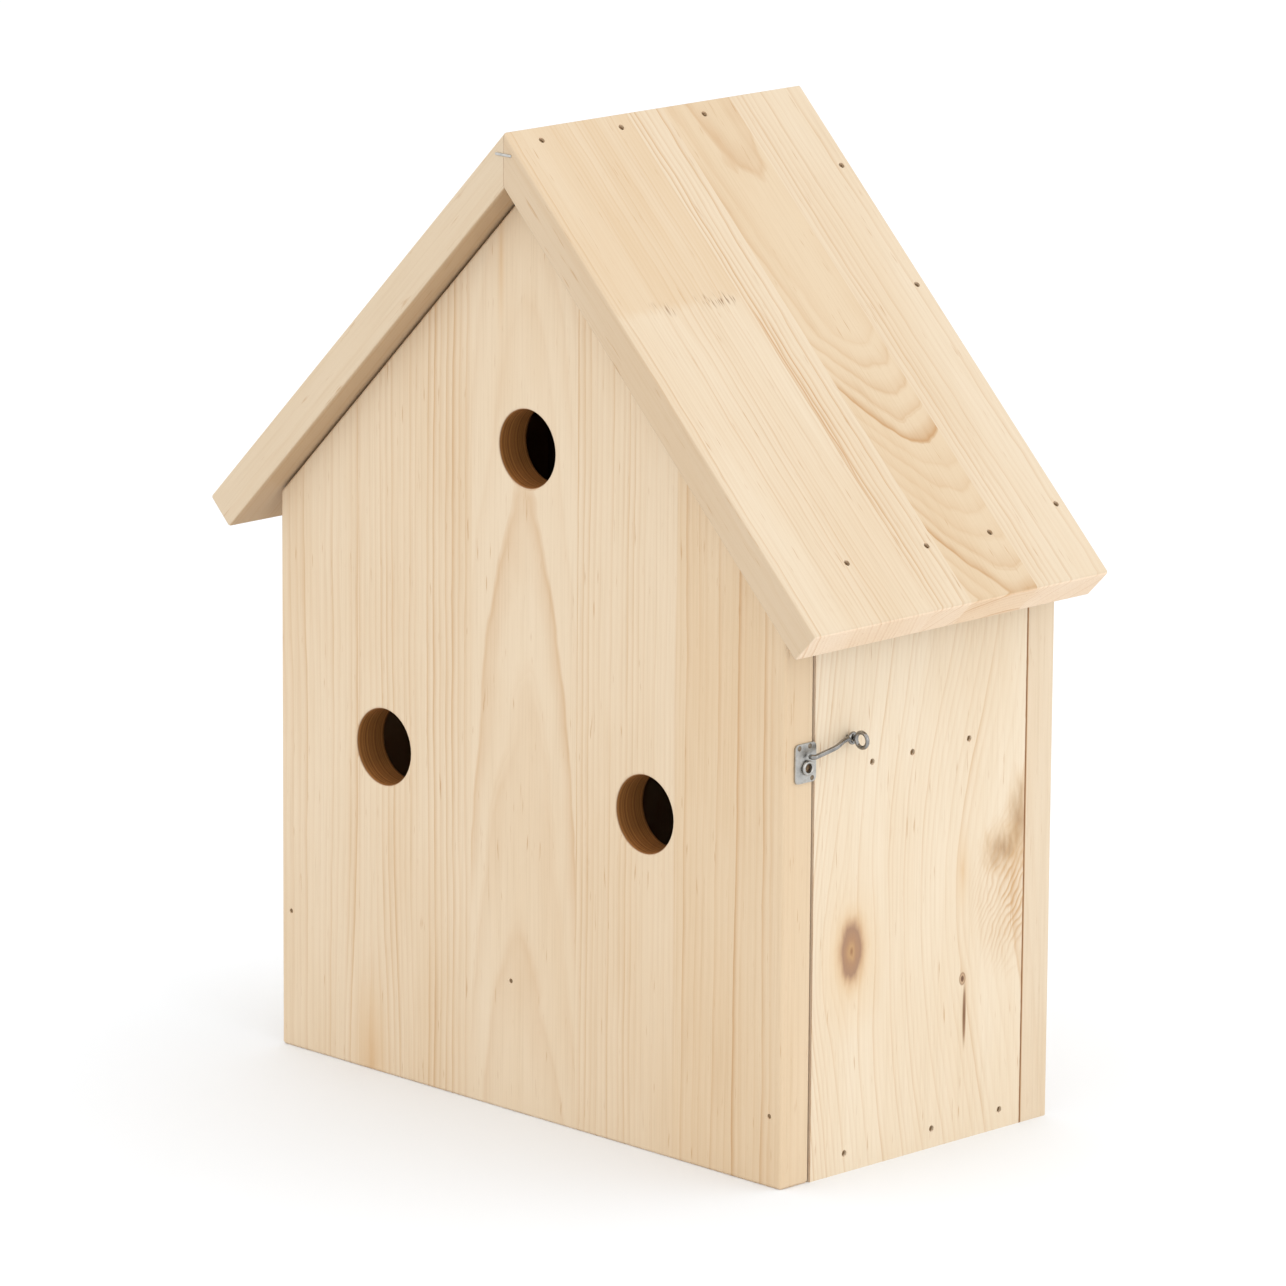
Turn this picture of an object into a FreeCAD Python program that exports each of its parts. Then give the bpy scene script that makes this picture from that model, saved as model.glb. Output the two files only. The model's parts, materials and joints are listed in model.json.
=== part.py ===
"""Gabled birdhouse in planed pine: three nest chambers, a lift-off front and a wire hook on each side.

The frame stands on Z = 0 with the house centred on X = 0 and Y = 0. The front faces -Y.
Every size is in millimetres and comes from the Sizes sheet.
"""

import FreeCAD, Part
import math
import os
import re
import Sketcher
from FreeCAD import Placement, Rotation, Vector

SIZES = {
    # body boards
    "width": 330, "depth": 175, "board": 18, "wall_height": 269, "front_gap": 0.7, "back_gap": 0.3,
    "edge_ease": 1.5,
    # roof
    "pitch": 45, "roof_board": 18, "front_overhang": 15, "eave_overhang": 20, "roof_gap": 1.6,
    "mitre_gap": 0.15,
    # entrances
    "entrance_radius": 18, "top_entrance_height": 313, "low_entrance_height": 157,
    "left_entrance_offset": 95, "right_entrance_offset": 77,
    # inside: the divider stands midway between the two lower entrances
    "shelf_bottom": 179, "divider_offset": 9,
    # nails, sunk below the face in a punched recess
    "nail_radius": 0.8, "nail_length": 34, "nail_head_radius": 1.25, "nail_head": 1.0, "nail_sink": 1.2,
    "punch_radius": 1.5, "bore_play": 0.02,
    # nail rows, measured down the slope from the ridge, up from the floor or in from the back
    "floor_nail_height": 9, "eave_row": 247, "ridge_row": 7, "back_row_inset": 6,
    # ridge staple
    "staple_radius": 0.7, "staple_width": 9, "staple_leg": 12, "staple_drop": 10,
    # headless locating pins for the front
    "pin_radius": 1.1, "pin_fit": 0.05, "pin_grip": 15, "pin_sink": 0.6,
    "left_pin_height": 66, "left_pin_inset": 6.5, "right_pin_height": 33, "right_pin_inset": 7.3,
    "middle_pin_height": 62,
    # latch plate, its tacks and its keeper
    "plate_thick": 1.0, "plate_width": 13.2, "plate_height": 18, "plate_bottom": 186, "plate_front": 5.7,
    "plate_corner": 2.2, "tack_radius": 0.55, "tack_length": 8, "tack_head_radius": 1.2,
    "tack_head": 0.5, "keeper_wire": 0.75, "keeper_ring": 2.75, "keeper_from_front": 13.2,
    "keeper_height": 192.7, "keeper_hole_depth": 9,
    # screw eye, and the hook whose small loop turns on the eye's stem
    "eye_wire": 0.95, "eye_ring": 3.45, "eye_standoff": 9, "eye_from_front": 39.6, "eye_height": 202.3,
    "eye_screw": 11, "loop_wire": 0.95, "loop_ring": 2.05, "loop_standoff": 3.4, "hook_wire": 1.15,
    "hook_standoff": 5.4, "crank_length": 11, "hook_bow": 0.7, "tip_from_front": 13.4, "tip_height": 198.4,
    "tip_bend": 1.8, "tip_clearance": 0.9,
}

# Places of the nails along each row, behind the front face (or down the slope for the back row).
SIDE_SHELF_NAILS = (56, 82, 119)
SIDE_FLOOR_NAILS = (41, 98, 143)
ROOF_SLOPE_NAILS = (46, 115, 240)
ROOF_EAVE_NAILS = (28, 79, 120)
RIDGE_NAILS = (4, 54, 107)
# Pairs of distances from the middle of the back panel and up from the floor.
BACK_PANEL_NAILS = ((-120, 9), (0, 9), (120, 9), (-100, 188), (0, 188), (100, 188),
                    (-156, 90), (156, 90), (-156, 230), (156, 230))
DIVIDER_NAILS = (-35, 35)
# Pairs of distances from the latch plate's front edge and up from its lower edge.
TACKS = ((2.6, 16.2), (9.2, 16.4), (10.7, 1.7))

X_AXIS = Vector(1, 0, 0)
Y_AXIS = Vector(0, 1, 0)
Z_AXIS = Vector(0, 0, 1)
# Edges this close to a plane or a length count as on it.
NEAR = 1e-3
# The sketcher's numbers for a line's start and a circle's centre.
START_POINT = 1
CENTRE_POINT = 3

doc = FreeCAD.newDocument("Birdhouse")
nodes = []


# ---------------------------------------------------------------- sheet and helpers

def make_sheet():
    """The sheet that drives the model: a name in column A and its value in column B."""
    sheet = doc.addObject("Spreadsheet::Sheet", "Sizes")
    for row, (name, value) in enumerate(SIZES.items(), start=1):
        sheet.set(f"A{row}", name)
        sheet.set(f"B{row}", str(value))
        sheet.setAlias(f"B{row}", name)
    doc.recompute()
    return sheet


def size(name):
    return float(getattr(sheet, name))


def in_sizes(formula):
    """Writes a formula of size names as an expression on the sheet."""
    return re.sub(r"[a-z_]+", lambda word: f"Sizes.{word[0]}" if word[0] in SIZES else word[0], formula)


def bind(thing, **formulas):
    """Binds properties to formulas; a double underscore in a name stands for a dot."""
    for path, formula in formulas.items():
        thing.setExpression(path.replace("__", "."), in_sizes(formula))


def bind_place(thing, across, back, up):
    bind(thing, Placement__Base__x=across, Placement__Base__y=back, Placement__Base__z=up)


def add(kind, name):
    return doc.addObject(kind, name)


def keep(thing, label):
    """Marks an object as one piece of the birdhouse."""
    thing.Label = label
    nodes.append(thing)
    return thing


def cylinder(name, radius, length, at=("0", "0", "0"), turn=Rotation()):
    rod = add("Part::Cylinder", name)
    rod.Placement = Placement(Vector(), turn)
    bind(rod, Radius=radius, Height=length)
    bind_place(rod, *at)
    return rod


def torus(name, ring, wire, at, turn=Rotation()):
    loop = add("Part::Torus", name)
    loop.Placement = Placement(Vector(), turn)
    bind(loop, Radius1=ring, Radius2=wire)
    bind_place(loop, *at)
    return loop


def joined(name, shapes):
    union = add("Part::MultiFuse", name)
    union.Shapes = shapes
    return union


def cut(name, base, tool):
    result = add("Part::Cut", name)
    result.Base = base
    result.Tool = tool
    return result


def mirrored(name, source):
    """The same piece on the other side of the plane X = 0."""
    twin = add("Part::Mirroring", name)
    twin.Source = source
    twin.Normal = X_AXIS
    return twin


def origin_plane(body, role):
    return next(item for item in body.Origin.OriginFeatures if item.Role == role)


def sketch_on(body, name, role, offset):
    sketch = body.newObject("Sketcher::SketchObject", name)
    sketch.AttachmentSupport = [(origin_plane(body, role), "")]
    sketch.MapMode = "FlatFace"
    sketch.setExpression("AttachmentOffset.Base.z", in_sizes(offset))
    return sketch


def place_point(sketch, geometry, point, across, up):
    """Ties a point of a line or circle to the sketch's origin by two bound distances."""
    for kind, formula in (("DistanceX", across), ("DistanceY", up)):
        index = sketch.addConstraint(Sketcher.Constraint(kind, -1, 1, geometry, point, 1.0))
        sketch.setExpression(f"Constraints[{index}]", in_sizes(formula))


def outline(sketch, corners):
    """Draws a closed outline whose corners are pairs of formulas."""
    count = len(corners)
    turns = [2 * math.pi * i / count for i in range(count)]
    seeds = [Vector(math.cos(turn), math.sin(turn), 0) for turn in turns]
    for i in range(count):
        sketch.addGeometry(Part.LineSegment(seeds[i], seeds[(i + 1) % count]), False)
    for i in range(count):
        sketch.addConstraint(Sketcher.Constraint("Coincident", i, 2, (i + 1) % count, 1))
    for i, (across, up) in enumerate(corners):
        place_point(sketch, i, START_POINT, across, up)


def circle(sketch, across, up, radius):
    ring = sketch.addGeometry(Part.Circle(Vector(1, 1, 0), Z_AXIS, 1), False)
    place_point(sketch, ring, CENTRE_POINT, across, up)
    index = sketch.addConstraint(Sketcher.Constraint("Radius", ring, 1.0))
    sketch.setExpression(f"Constraints[{index}]", in_sizes(radius))


def board_body(name, corners, back_face, length):
    """A board whose outline lies in the XZ plane, padded forward from its back face."""
    body = add("PartDesign::Body", name)
    sketch = sketch_on(body, name + "_outline", "XZ_Plane", f"0 - ({back_face})")
    outline(sketch, corners)
    pad = body.newObject("PartDesign::Pad", name + "_pad")
    pad.Profile = sketch
    bind(pad, Length=length)
    doc.recompute()
    return body


def ease_edges(body, name, wanted):
    """Rounds the edges of the body's tip that the test picks."""
    tip = body.Tip
    picked = [f"Edge{i}" for i, edge in enumerate(tip.Shape.Edges, start=1) if wanted(edge)]
    fillet = body.newObject("PartDesign::Fillet", name + "_eased")
    fillet.Base = (tip, picked)
    bind(fillet, Radius="edge_ease")
    doc.recompute()


# ---------------------------------------------------------------- shared formulas

HALF = "width / 2"
SLOPE = "tan(pitch * 1 deg)"
APEX = f"wall_height + {HALF} * {SLOPE}"
RIDGE = f"{APEX} + roof_board / cos(pitch * 1 deg)"
INNER_HALF = f"{HALF} - board"
FRONT = "0 - depth / 2"
BACK = "depth / 2"
INNER_BACK = "depth / 2 - board - back_gap"
INSIDE_DEPTH = "depth - 2 * board - front_gap - back_gap"
ROOF_LENGTH = f"({HALF} + eave_overhang + roof_board * sin(pitch * 1 deg)) / cos(pitch * 1 deg)"
ROOF_DEPTH = "depth + front_overhang"

ON_SIDE = Rotation(Y_AXIS, Z_AXIS, X_AXIS, "ZXY")
ON_BACK = Rotation(-X_AXIS, Z_AXIS, Y_AXIS, "ZXY")
ON_BASE = Rotation(X_AXIS, -Y_AXIS, -Z_AXIS, "ZXY")
ALONG_X = Rotation(Y_AXIS, 90)
ALONG_Y = Rotation(X_AXIS, -90)


# ---------------------------------------------------------------- fasteners

def nail_row(name, spots, turn, at):
    """One row of nails, and the holes they sit in.

    In the row's own frame the wood's face is z = 0 and the nails are driven towards -z.
    """
    nails = []
    bores = []
    for i, (across, up) in enumerate(spots):
        tag = f"{name}_{i}"
        nails += [
            cylinder(tag + "_shank", "nail_radius", "nail_length",
                     (across, up, "0 - nail_sink - nail_length"), Rotation()),
            cylinder(tag + "_head", "nail_head_radius", "nail_head",
                     (across, up, "0 - nail_sink - nail_head"), Rotation()),
        ]
        bores += [
            cylinder(tag + "_bore", "nail_radius + bore_play", "nail_length + nail_sink",
                     (across, up, "0 - nail_sink - nail_length - bore_play"), Rotation()),
            cylinder(tag + "_punch", "punch_radius", "2 * nail_sink + nail_head",
                     (across, up, "0 - nail_sink - nail_head - bore_play"), Rotation()),
        ]
    row = joined(name, nails)
    holes = joined(name + "_holes", bores)
    for thing in (row, holes):
        thing.Placement = Placement(Vector(), turn)
        bind_place(thing, *at)
    return row, holes


def from_front(distance):
    """A place along Y, given its distance behind the front face."""
    return f"{distance} - depth / 2"


def side_rows():
    face = (HALF, "0", "0")
    shelf_level = "shelf_bottom + board / 2"
    shelf = [(from_front(y), shelf_level) for y in SIDE_SHELF_NAILS]
    floor = [(from_front(y), "floor_nail_height") for y in SIDE_FLOOR_NAILS]
    return (nail_row("right_shelf_nails", shelf, ON_SIDE, face),
            nail_row("right_floor_nails", floor, ON_SIDE, face))


def roof_rows():
    on_roof = Rotation(Y_AXIS, size("pitch"))
    ridge = ("0", "0", RIDGE)
    back = [(f"{down}", "depth / 2 - back_row_inset") for down in ROOF_SLOPE_NAILS]
    eave = [("eave_row", from_front(y)) for y in ROOF_EAVE_NAILS]
    top = [("ridge_row", from_front(y)) for y in RIDGE_NAILS]
    return (nail_row("right_roof_back_nails", back, on_roof, ridge),
            nail_row("right_roof_eave_nails", eave, on_roof, ridge),
            nail_row("ridge_nails", top, on_roof, ridge))


def back_and_divider_rows():
    back = [(f"{x}", f"{z}") for x, z in BACK_PANEL_NAILS]
    divider = [("0", f"{y}") for y in DIVIDER_NAILS]
    base = ("0 - divider_offset", "0", "0")
    shelf_top = ("0 - divider_offset", "0", "shelf_bottom + board")
    return (nail_row("back_panel_nails", back, ON_BACK, ("0", BACK, "0")),
            nail_row("divider_base_nails", divider, ON_BASE, base),
            nail_row("divider_top_nails", divider, Rotation(), shelf_top))


def ridge_staple():
    """A wire staple in the roof's front edge, across the mitre: two legs, a crown and round shoulders."""
    face = f"{FRONT} - front_overhang"
    level = f"{RIDGE} - staple_drop"
    left = "0 - staple_width / 2"
    right = "staple_width / 2"
    pieces = [cylinder("staple_crown", "staple_radius", "staple_width", (left, face, level), ALONG_X)]
    for i, across in enumerate((left, right)):
        leg = cylinder(f"staple_leg_{i}", "staple_radius", "staple_leg", (across, face, level), ALONG_Y)
        ball = add("Part::Sphere", f"staple_shoulder_{i}")
        bind(ball, Radius="staple_radius")
        bind_place(ball, across, face, level)
        pieces += [leg, ball]
    return joined("ridge_staple", pieces)


def locating_pins():
    """Headless pins in the front edges of the sides and divider, and the holes they enter in the front."""
    start = f"{FRONT} + pin_sink"
    length = "board + front_gap + pin_grip - pin_sink"
    places = {
        "right_locating_pin": (f"{HALF} - right_pin_inset", start, "right_pin_height"),
        "left_locating_pin": (f"left_pin_inset - {HALF}", start, "left_pin_height"),
        "middle_locating_pin": ("0 - divider_offset", start, "middle_pin_height"),
    }
    front_holes = []
    for name, at in places.items():
        keep(cylinder(name, "pin_radius", length, at, ALONG_Y), name)
        mouth = (at[0], f"{FRONT} - pin_sink", at[2])
        front_holes.append(cylinder(name + "_slip_hole", "pin_radius + pin_fit",
                                    "board + 2 * pin_sink", mouth, ALONG_Y))
    seats = [cylinder(name + "_seat", "pin_radius + bore_play", "board + front_gap + pin_grip",
                      at, ALONG_Y) for name, at in places.items()]
    return front_holes, seats


# ---------------------------------------------------------------- boards

def pentagon(drop):
    """The gable outline, its sloped edges lowered by a drop."""
    return [(f"0 - {HALF}", "0"), (HALF, "0"), (HALF, f"wall_height - {drop}"),
            ("0", f"{APEX} - {drop}"), (f"0 - {HALF}", f"wall_height - {drop}")]


def front_board():
    body = board_body("front_board", pentagon("roof_gap"), f"{FRONT} + board", "board")
    sketch = sketch_on(body, "entrances", "XZ_Plane", BACK)
    circle(sketch, "0", "top_entrance_height", "entrance_radius")
    circle(sketch, "0 - left_entrance_offset", "low_entrance_height", "entrance_radius")
    circle(sketch, "right_entrance_offset", "low_entrance_height", "entrance_radius")
    pocket = body.newObject("PartDesign::Pocket", "entrance_holes")
    pocket.Profile = sketch
    bind(pocket, Length="board")
    doc.recompute()
    ease_edges(body, "front_board", lambda edge: True)
    return body


def back_board():
    body = board_body("back_board", pentagon("0"), BACK, "board")
    rear = size("depth") / 2
    ease_edges(body, "back_board", lambda edge: edge.BoundBox.YMin > rear - NEAR)
    return body


def side_board():
    corners = [(INNER_HALF, "0"), (HALF, "0"), (HALF, "wall_height"),
               (INNER_HALF, f"wall_height + board * {SLOPE}")]
    return board_body("side_board", corners, INNER_BACK, INSIDE_DEPTH)


def flat_board(name, low, high):
    corners = [(f"0 - ({INNER_HALF})", low), (INNER_HALF, low), (INNER_HALF, high),
               (f"0 - ({INNER_HALF})", high)]
    return board_body(name, corners, INNER_BACK, INSIDE_DEPTH)


def divider_board():
    left = "0 - divider_offset - board / 2"
    right = "board / 2 - divider_offset"
    corners = [(left, "board"), (right, "board"), (right, "shelf_bottom"), (left, "shelf_bottom")]
    return board_body("divider_board", corners, INNER_BACK, INSIDE_DEPTH)


def roof_slab():
    """The right roof board, drawn flat: x runs down the slope from the ridge, z = 0 is its top face."""
    corners = [("mitre_gap", "0"), (ROOF_LENGTH, "0"), (ROOF_LENGTH, "0 - roof_board"),
               (f"roof_board * {SLOPE} + mitre_gap", "0 - roof_board")]
    body = board_body("roof_slab", corners, BACK, ROOF_DEPTH)
    away_from_mitre = size("roof_board") * math.tan(math.radians(size("pitch"))) + 1
    ease_edges(body, "roof_slab", lambda edge: edge.BoundBox.XMax > away_from_mitre)
    body.Placement = Placement(Vector(), Rotation(Y_AXIS, size("pitch")))
    bind_place(body, "0", "0", RIDGE)
    return body


# ---------------------------------------------------------------- latch

def plate_body():
    """The latch plate on the front panel's right edge, with its tack and keeper holes."""
    body = add("PartDesign::Body", "plate_body")
    sketch = sketch_on(body, "plate_outline", "YZ_Plane", HALF)
    low = "plate_bottom"
    high = "plate_bottom + plate_height"
    near = from_front("plate_front")
    far = f"{near} + plate_width"
    outline(sketch, [(near, low), (far, low), (far, high), (near, high)])
    pad = body.newObject("PartDesign::Pad", "plate_pad")
    pad.Profile = sketch
    bind(pad, Length="plate_thick")
    doc.recompute()
    corners = [f"Edge{i}" for i, edge in enumerate(pad.Shape.Edges, start=1)
               if abs(edge.BoundBox.XLength - size("plate_thick")) < NEAR]
    fillet = body.newObject("PartDesign::Fillet", "plate_corners")
    fillet.Base = (pad, corners)
    bind(fillet, Radius="plate_corner")
    doc.recompute()
    return body


def tack_places():
    near = from_front("plate_front")
    return [(f"{near} + {across}", f"plate_bottom + {up}") for across, up in TACKS]


def tacks():
    """Small tacks through the plate, and the holes they need in plate and wood."""
    pieces = []
    bores = []
    surface = f"{HALF} + plate_thick"
    into_wood = Rotation(Y_AXIS, -90)
    for i, (back, up) in enumerate(tack_places()):
        shank = cylinder(f"tack_{i}_shank", "tack_radius", "tack_length", (surface, back, up), into_wood)
        head = add("Part::Cone", f"tack_{i}_head")
        head.Placement = Placement(Vector(), ALONG_X)
        bind(head, Radius1="tack_head_radius", Radius2="tack_head_radius / 2", Height="tack_head")
        bind_place(head, surface, back, up)
        pieces += [shank, head]
        bores.append(cylinder(f"tack_{i}_bore", "tack_radius + bore_play", "tack_length + bore_play",
                              (surface, back, up), into_wood))
    return joined("right_plate_tacks", pieces), bores


def keeper():
    """The raised eyelet on the plate, and the hole behind it for the hook's tip."""
    back = from_front("keeper_from_front")
    ring = torus("right_keeper_eyelet", "keeper_ring", "keeper_wire",
                 (f"{HALF} + plate_thick + keeper_wire", back, "keeper_height"), ALONG_X)
    hole = cylinder("keeper_hole", "keeper_ring - keeper_wire", "keeper_hole_depth + plate_thick",
                    (f"{HALF} + plate_thick", back, "keeper_height"), Rotation(Y_AXIS, -90))
    return ring, hole


def screw_eye():
    """A ring beside the wall, upright in the XZ plane, with a screw along X into the side."""
    across = f"{HALF} + eye_standoff"
    back = from_front("eye_from_front")
    into_wood = Rotation(Y_AXIS, -90)
    ring = torus("eye_ring_part", "eye_ring", "eye_wire", (across, back, "eye_height"), ALONG_Y)
    stem = cylinder("eye_stem", "eye_wire", "eye_screw + eye_standoff - eye_ring",
                    (f"{across} - eye_ring", back, "eye_height"), into_wood)
    hole = cylinder("eye_hole", "eye_wire + bore_play", "eye_screw + bore_play",
                    (HALF, back, "eye_height"), into_wood)
    return joined("right_screw_eye", [ring, stem]), hole


def swept_wire(curve, radius):
    """A round wire along a curve."""
    start = curve.FirstParameter
    ring = Part.Circle(curve.value(start), curve.tangent(start)[0], radius)
    return Part.Wire([curve.toShape()]).makePipeShell([Part.Wire([ring.toShape()])], True, False)


def wire_hook():
    """The hook, one bent wire: a loop on the eye's stem, a cranked shank, an elbow and a round tip.

    The bends lie in two planes, so the wire is swept in code from the sheet's sizes.
    """
    wall = size("width") / 2
    front = -size("depth") / 2
    wire = size("hook_wire")
    bend = size("tip_bend")
    centre = Vector(wall + size("loop_standoff"), front + size("eye_from_front"), size("eye_height"))
    start = centre - Y_AXIS * size("loop_ring")
    end = Vector(wall + size("hook_standoff"), front + size("tip_from_front") + bend, size("tip_height"))
    crank = Vector(end.x, centre.y - size("crank_length"), (centre.z + end.z) / 2 + size("hook_bow"))
    heading = (end - crank).normalize()
    shank = Part.BSplineCurve()
    shank.interpolate(Points=[start, crank, end], InitialTangent=-Y_AXIS, FinalTangent=heading)

    elbow_end = end + (heading - X_AXIS) * bend
    elbow_middle = end - X_AXIS * bend + (heading + X_AXIS) * (bend * math.sqrt(0.5))
    elbow = Part.Arc(end, elbow_middle, elbow_end)
    tip_end = wall + size("plate_thick") + size("tip_clearance") + wire
    tip_length = elbow_end.x - tip_end
    loop = Part.makeTorus(size("loop_ring"), size("loop_wire"), centre, X_AXIS)
    shapes = [
        Part.makeSphere(wire, start),
        swept_wire(shank, wire),
        swept_wire(elbow, wire),
        Part.makeCylinder(wire, tip_length, elbow_end, -X_AXIS),
        Part.makeSphere(wire, elbow_end - X_AXIS * tip_length),
    ]
    hook = add("Part::Feature", "right_hook")
    hook.Shape = loop.multiFuse(shapes)
    hook.Placement = Placement()
    return hook


# ---------------------------------------------------------------- the whole house

def build_right_and_left(bodies):
    """Keeps a right-hand piece and its mirror image under their own names."""
    for thing in bodies:
        keep(thing, thing.Name)
        name = thing.Name.replace("right_", "left_")
        keep(mirrored(name, thing), name)


def build():
    shelf_row, floor_row = side_rows()
    back_row, eave_row, ridge_row = roof_rows()
    back_panel_row, base_row, top_row = back_and_divider_rows()
    build_right_and_left([shelf_row[0], floor_row[0], back_row[0], eave_row[0]])
    for row in (ridge_row, back_panel_row, base_row, top_row):
        keep(row[0], row[0].Name)

    staple = keep(ridge_staple(), "ridge_staple")
    pin_slip_holes, pin_seats = locating_pins()
    eye, eye_hole = screw_eye()
    tack_row, tack_bores = tacks()
    ring, keeper_hole = keeper()

    right_bores = joined("right_bores", [shelf_row[1], floor_row[1], back_row[1], eave_row[1], eye_hole])
    left_bores = mirrored("left_bores", right_bores)
    bores = joined("bores", [right_bores, left_bores, ridge_row[1], back_panel_row[1], base_row[1],
                             top_row[1], staple] + pin_seats)
    latch_bores = joined("latch_bores", [keeper_hole] + tack_bores)
    front_bores = joined("front_bores", [latch_bores, mirrored("left_latch_bores", latch_bores)]
                         + pin_slip_holes)

    side = side_board()
    roof = roof_slab()
    boards = {
        "back_panel": back_board(),
        "right_side_panel": side,
        "left_side_panel": mirrored("left_side_board", side),
        "floor_board": flat_board("floor_slab", "0", "board"),
        "middle_shelf": flat_board("shelf_slab", "shelf_bottom", "shelf_bottom + board"),
        "lower_divider": divider_board(),
        "right_roof_board": roof,
        "left_roof_board": mirrored("left_roof_slab", roof),
    }
    for name, body in boards.items():
        keep(cut(name, body, bores), name)
    keep(cut("front_panel", front_board(), front_bores), "front_panel")

    plate = cut("right_latch_plate", plate_body(), latch_bores)
    build_right_and_left([plate, tack_row, ring, eye, wire_hook()])


def check_and_write():
    doc.recompute()
    faults = [thing.Name for thing in doc.Objects if "Invalid" in thing.State or "Error" in thing.State]
    if faults:
        raise RuntimeError(f"these objects failed: {faults}")
    os.makedirs("parts", exist_ok=True)
    for thing in nodes:
        shape = thing.Shape
        if shape.isNull() or not shape.isValid() or not shape.Solids:
            raise RuntimeError(f"{thing.Label} has no valid solid")
        print(f"{thing.Label}: {len(shape.Solids)} solids, {shape.Volume:.1f} mm3")
        shape.exportStep(f"parts/{thing.Label}.step")
    print(f"{len(nodes)} nodes")


sheet = make_sheet()
build()
check_and_write()
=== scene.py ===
"""Looks of the pine birdhouse: wood, steel, studio floor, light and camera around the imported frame.

The shapes come from the frame. Wood is worked out in each board's own axes: across the grain, along
the grain and through the board, in millimetres, from rings of growth around a pith line.
"""

import json
import math

import bpy
from mathutils import Matrix, Vector


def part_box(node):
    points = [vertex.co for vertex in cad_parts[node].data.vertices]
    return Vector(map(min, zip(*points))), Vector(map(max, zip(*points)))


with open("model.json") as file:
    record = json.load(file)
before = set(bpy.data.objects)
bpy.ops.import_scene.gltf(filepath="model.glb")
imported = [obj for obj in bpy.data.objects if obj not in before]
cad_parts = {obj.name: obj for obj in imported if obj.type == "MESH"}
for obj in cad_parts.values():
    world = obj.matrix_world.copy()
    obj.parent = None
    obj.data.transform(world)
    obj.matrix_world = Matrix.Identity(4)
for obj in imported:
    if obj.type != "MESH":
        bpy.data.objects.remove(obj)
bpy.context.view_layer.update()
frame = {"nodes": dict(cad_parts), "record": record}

X = Vector((1, 0, 0))
Y = Vector((0, 1, 0))
Z = Vector((0, 0, 1))
MM = 1000.0


# ---------------------------------------------------------------- colours

def grey(value):
    return (value, value, value, 1.0)


def srgb(red, green, blue):
    """A screen colour, 0 to 255, as the linear colour that a shader wants."""
    def linear(level):
        level /= 255
        return level / 12.92 if level <= 0.04045 else ((level + 0.055) / 1.055) ** 2.4
    return (linear(red), linear(green), linear(blue), 1.0)


EARLY = srgb(243, 226, 199)
LATE = srgb(205, 157, 98)
FLECK = srgb(196, 148, 96)
CURL = srgb(206, 160, 108)
SAWN = srgb(208, 172, 128)
WARMER = srgb(228, 196, 152)
# Painted shade for the left roof's underside.
PAINTED_UNDERSIDE_SHADE = srgb(190, 152, 106)
RESIN = srgb(205, 150, 92)
# Painted shade for the gaps along the side panels' joints.
JOINT_SHADE = srgb(150, 100, 58)
SPLINTER = srgb(132, 92, 56)
TARNISH = srgb(112, 88, 62)
# Painted shade for the inner faces of the boards, browner than the wood.
PAINTED_INSIDE_SHADE = (0.55, 0.33, 0.17, 1.0)
# Painted light: board ends are made lighter than the face grain.
END_FACE_PAINTED_LIGHT = (1.25, 1.21, 1.23, 1.0)
# Scorch brown with painted shade, for the walls of bored holes.
SCORCH_AND_SHADE_DARK = (0.225, 0.090, 0.020, 1.0)
SCORCH_AND_SHADE_PALE = (0.41, 0.185, 0.050, 1.0)

FRONT_TONE = (0.773, 0.734, 0.698)
BACK_TONE = (0.77, 0.75, 0.74)
SIDE_TONE = (0.820, 0.810, 0.805)
ROOF_TONE = (0.728, 0.702, 0.676)
# Painted shade: the boards inside the house are toned darker.
INNER_SHADE_TONE = (0.56, 0.48, 0.42)

# Marks in the wood, from the middle outwards, with 0.5 at a mark's edge. A colour's fourth value is how far
# the mark covers the wood.
BARE = (0.8, 0.6, 0.4, 0.0)
KNOT = [(0.0, (0.40, 0.21, 0.10, 1.0)), (0.10, (0.58, 0.35, 0.17, 1.0)), (0.24, (0.47, 0.27, 0.15, 1.0)),
        (0.42, (0.40, 0.23, 0.14, 0.95)), (0.54, (0.60, 0.36, 0.19, 0.70)), (0.68, (0.76, 0.52, 0.29, 0.40)),
        (0.95, (0.85, 0.66, 0.42, 0.0))]
SMEAR = [(0.0, (0.44, 0.26, 0.12, 0.80)), (0.30, (0.54, 0.34, 0.17, 0.60)), (0.60, (0.72, 0.50, 0.28, 0.30)),
         (0.85, BARE)]
SLIT = [(0.0, (0.18, 0.08, 0.03, 1.0)), (0.34, (0.30, 0.15, 0.07, 0.85)), (0.62, (0.66, 0.44, 0.24, 0.0))]
ORANGE = [(0.0, (0.74, 0.46, 0.21, 0.50)), (0.5, (0.80, 0.56, 0.31, 0.26)), (1.0, BARE)]
SPECK = [(0.0, (0.16, 0.08, 0.04, 1.0)), (0.22, (0.24, 0.13, 0.07, 1.0)), (0.32, (0.62, 0.42, 0.25, 0.9)),
         (0.5, (0.34, 0.19, 0.10, 0.8)), (0.62, (0.7, 0.5, 0.3, 0.0))]
HALO = [(0.0, (0.86, 0.62, 0.36, 0.45)), (0.7, (0.86, 0.62, 0.36, 0.0))]
CLEAR = [(0.0, BARE), (1.0, BARE)]


# ---------------------------------------------------------------- node helpers

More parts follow.
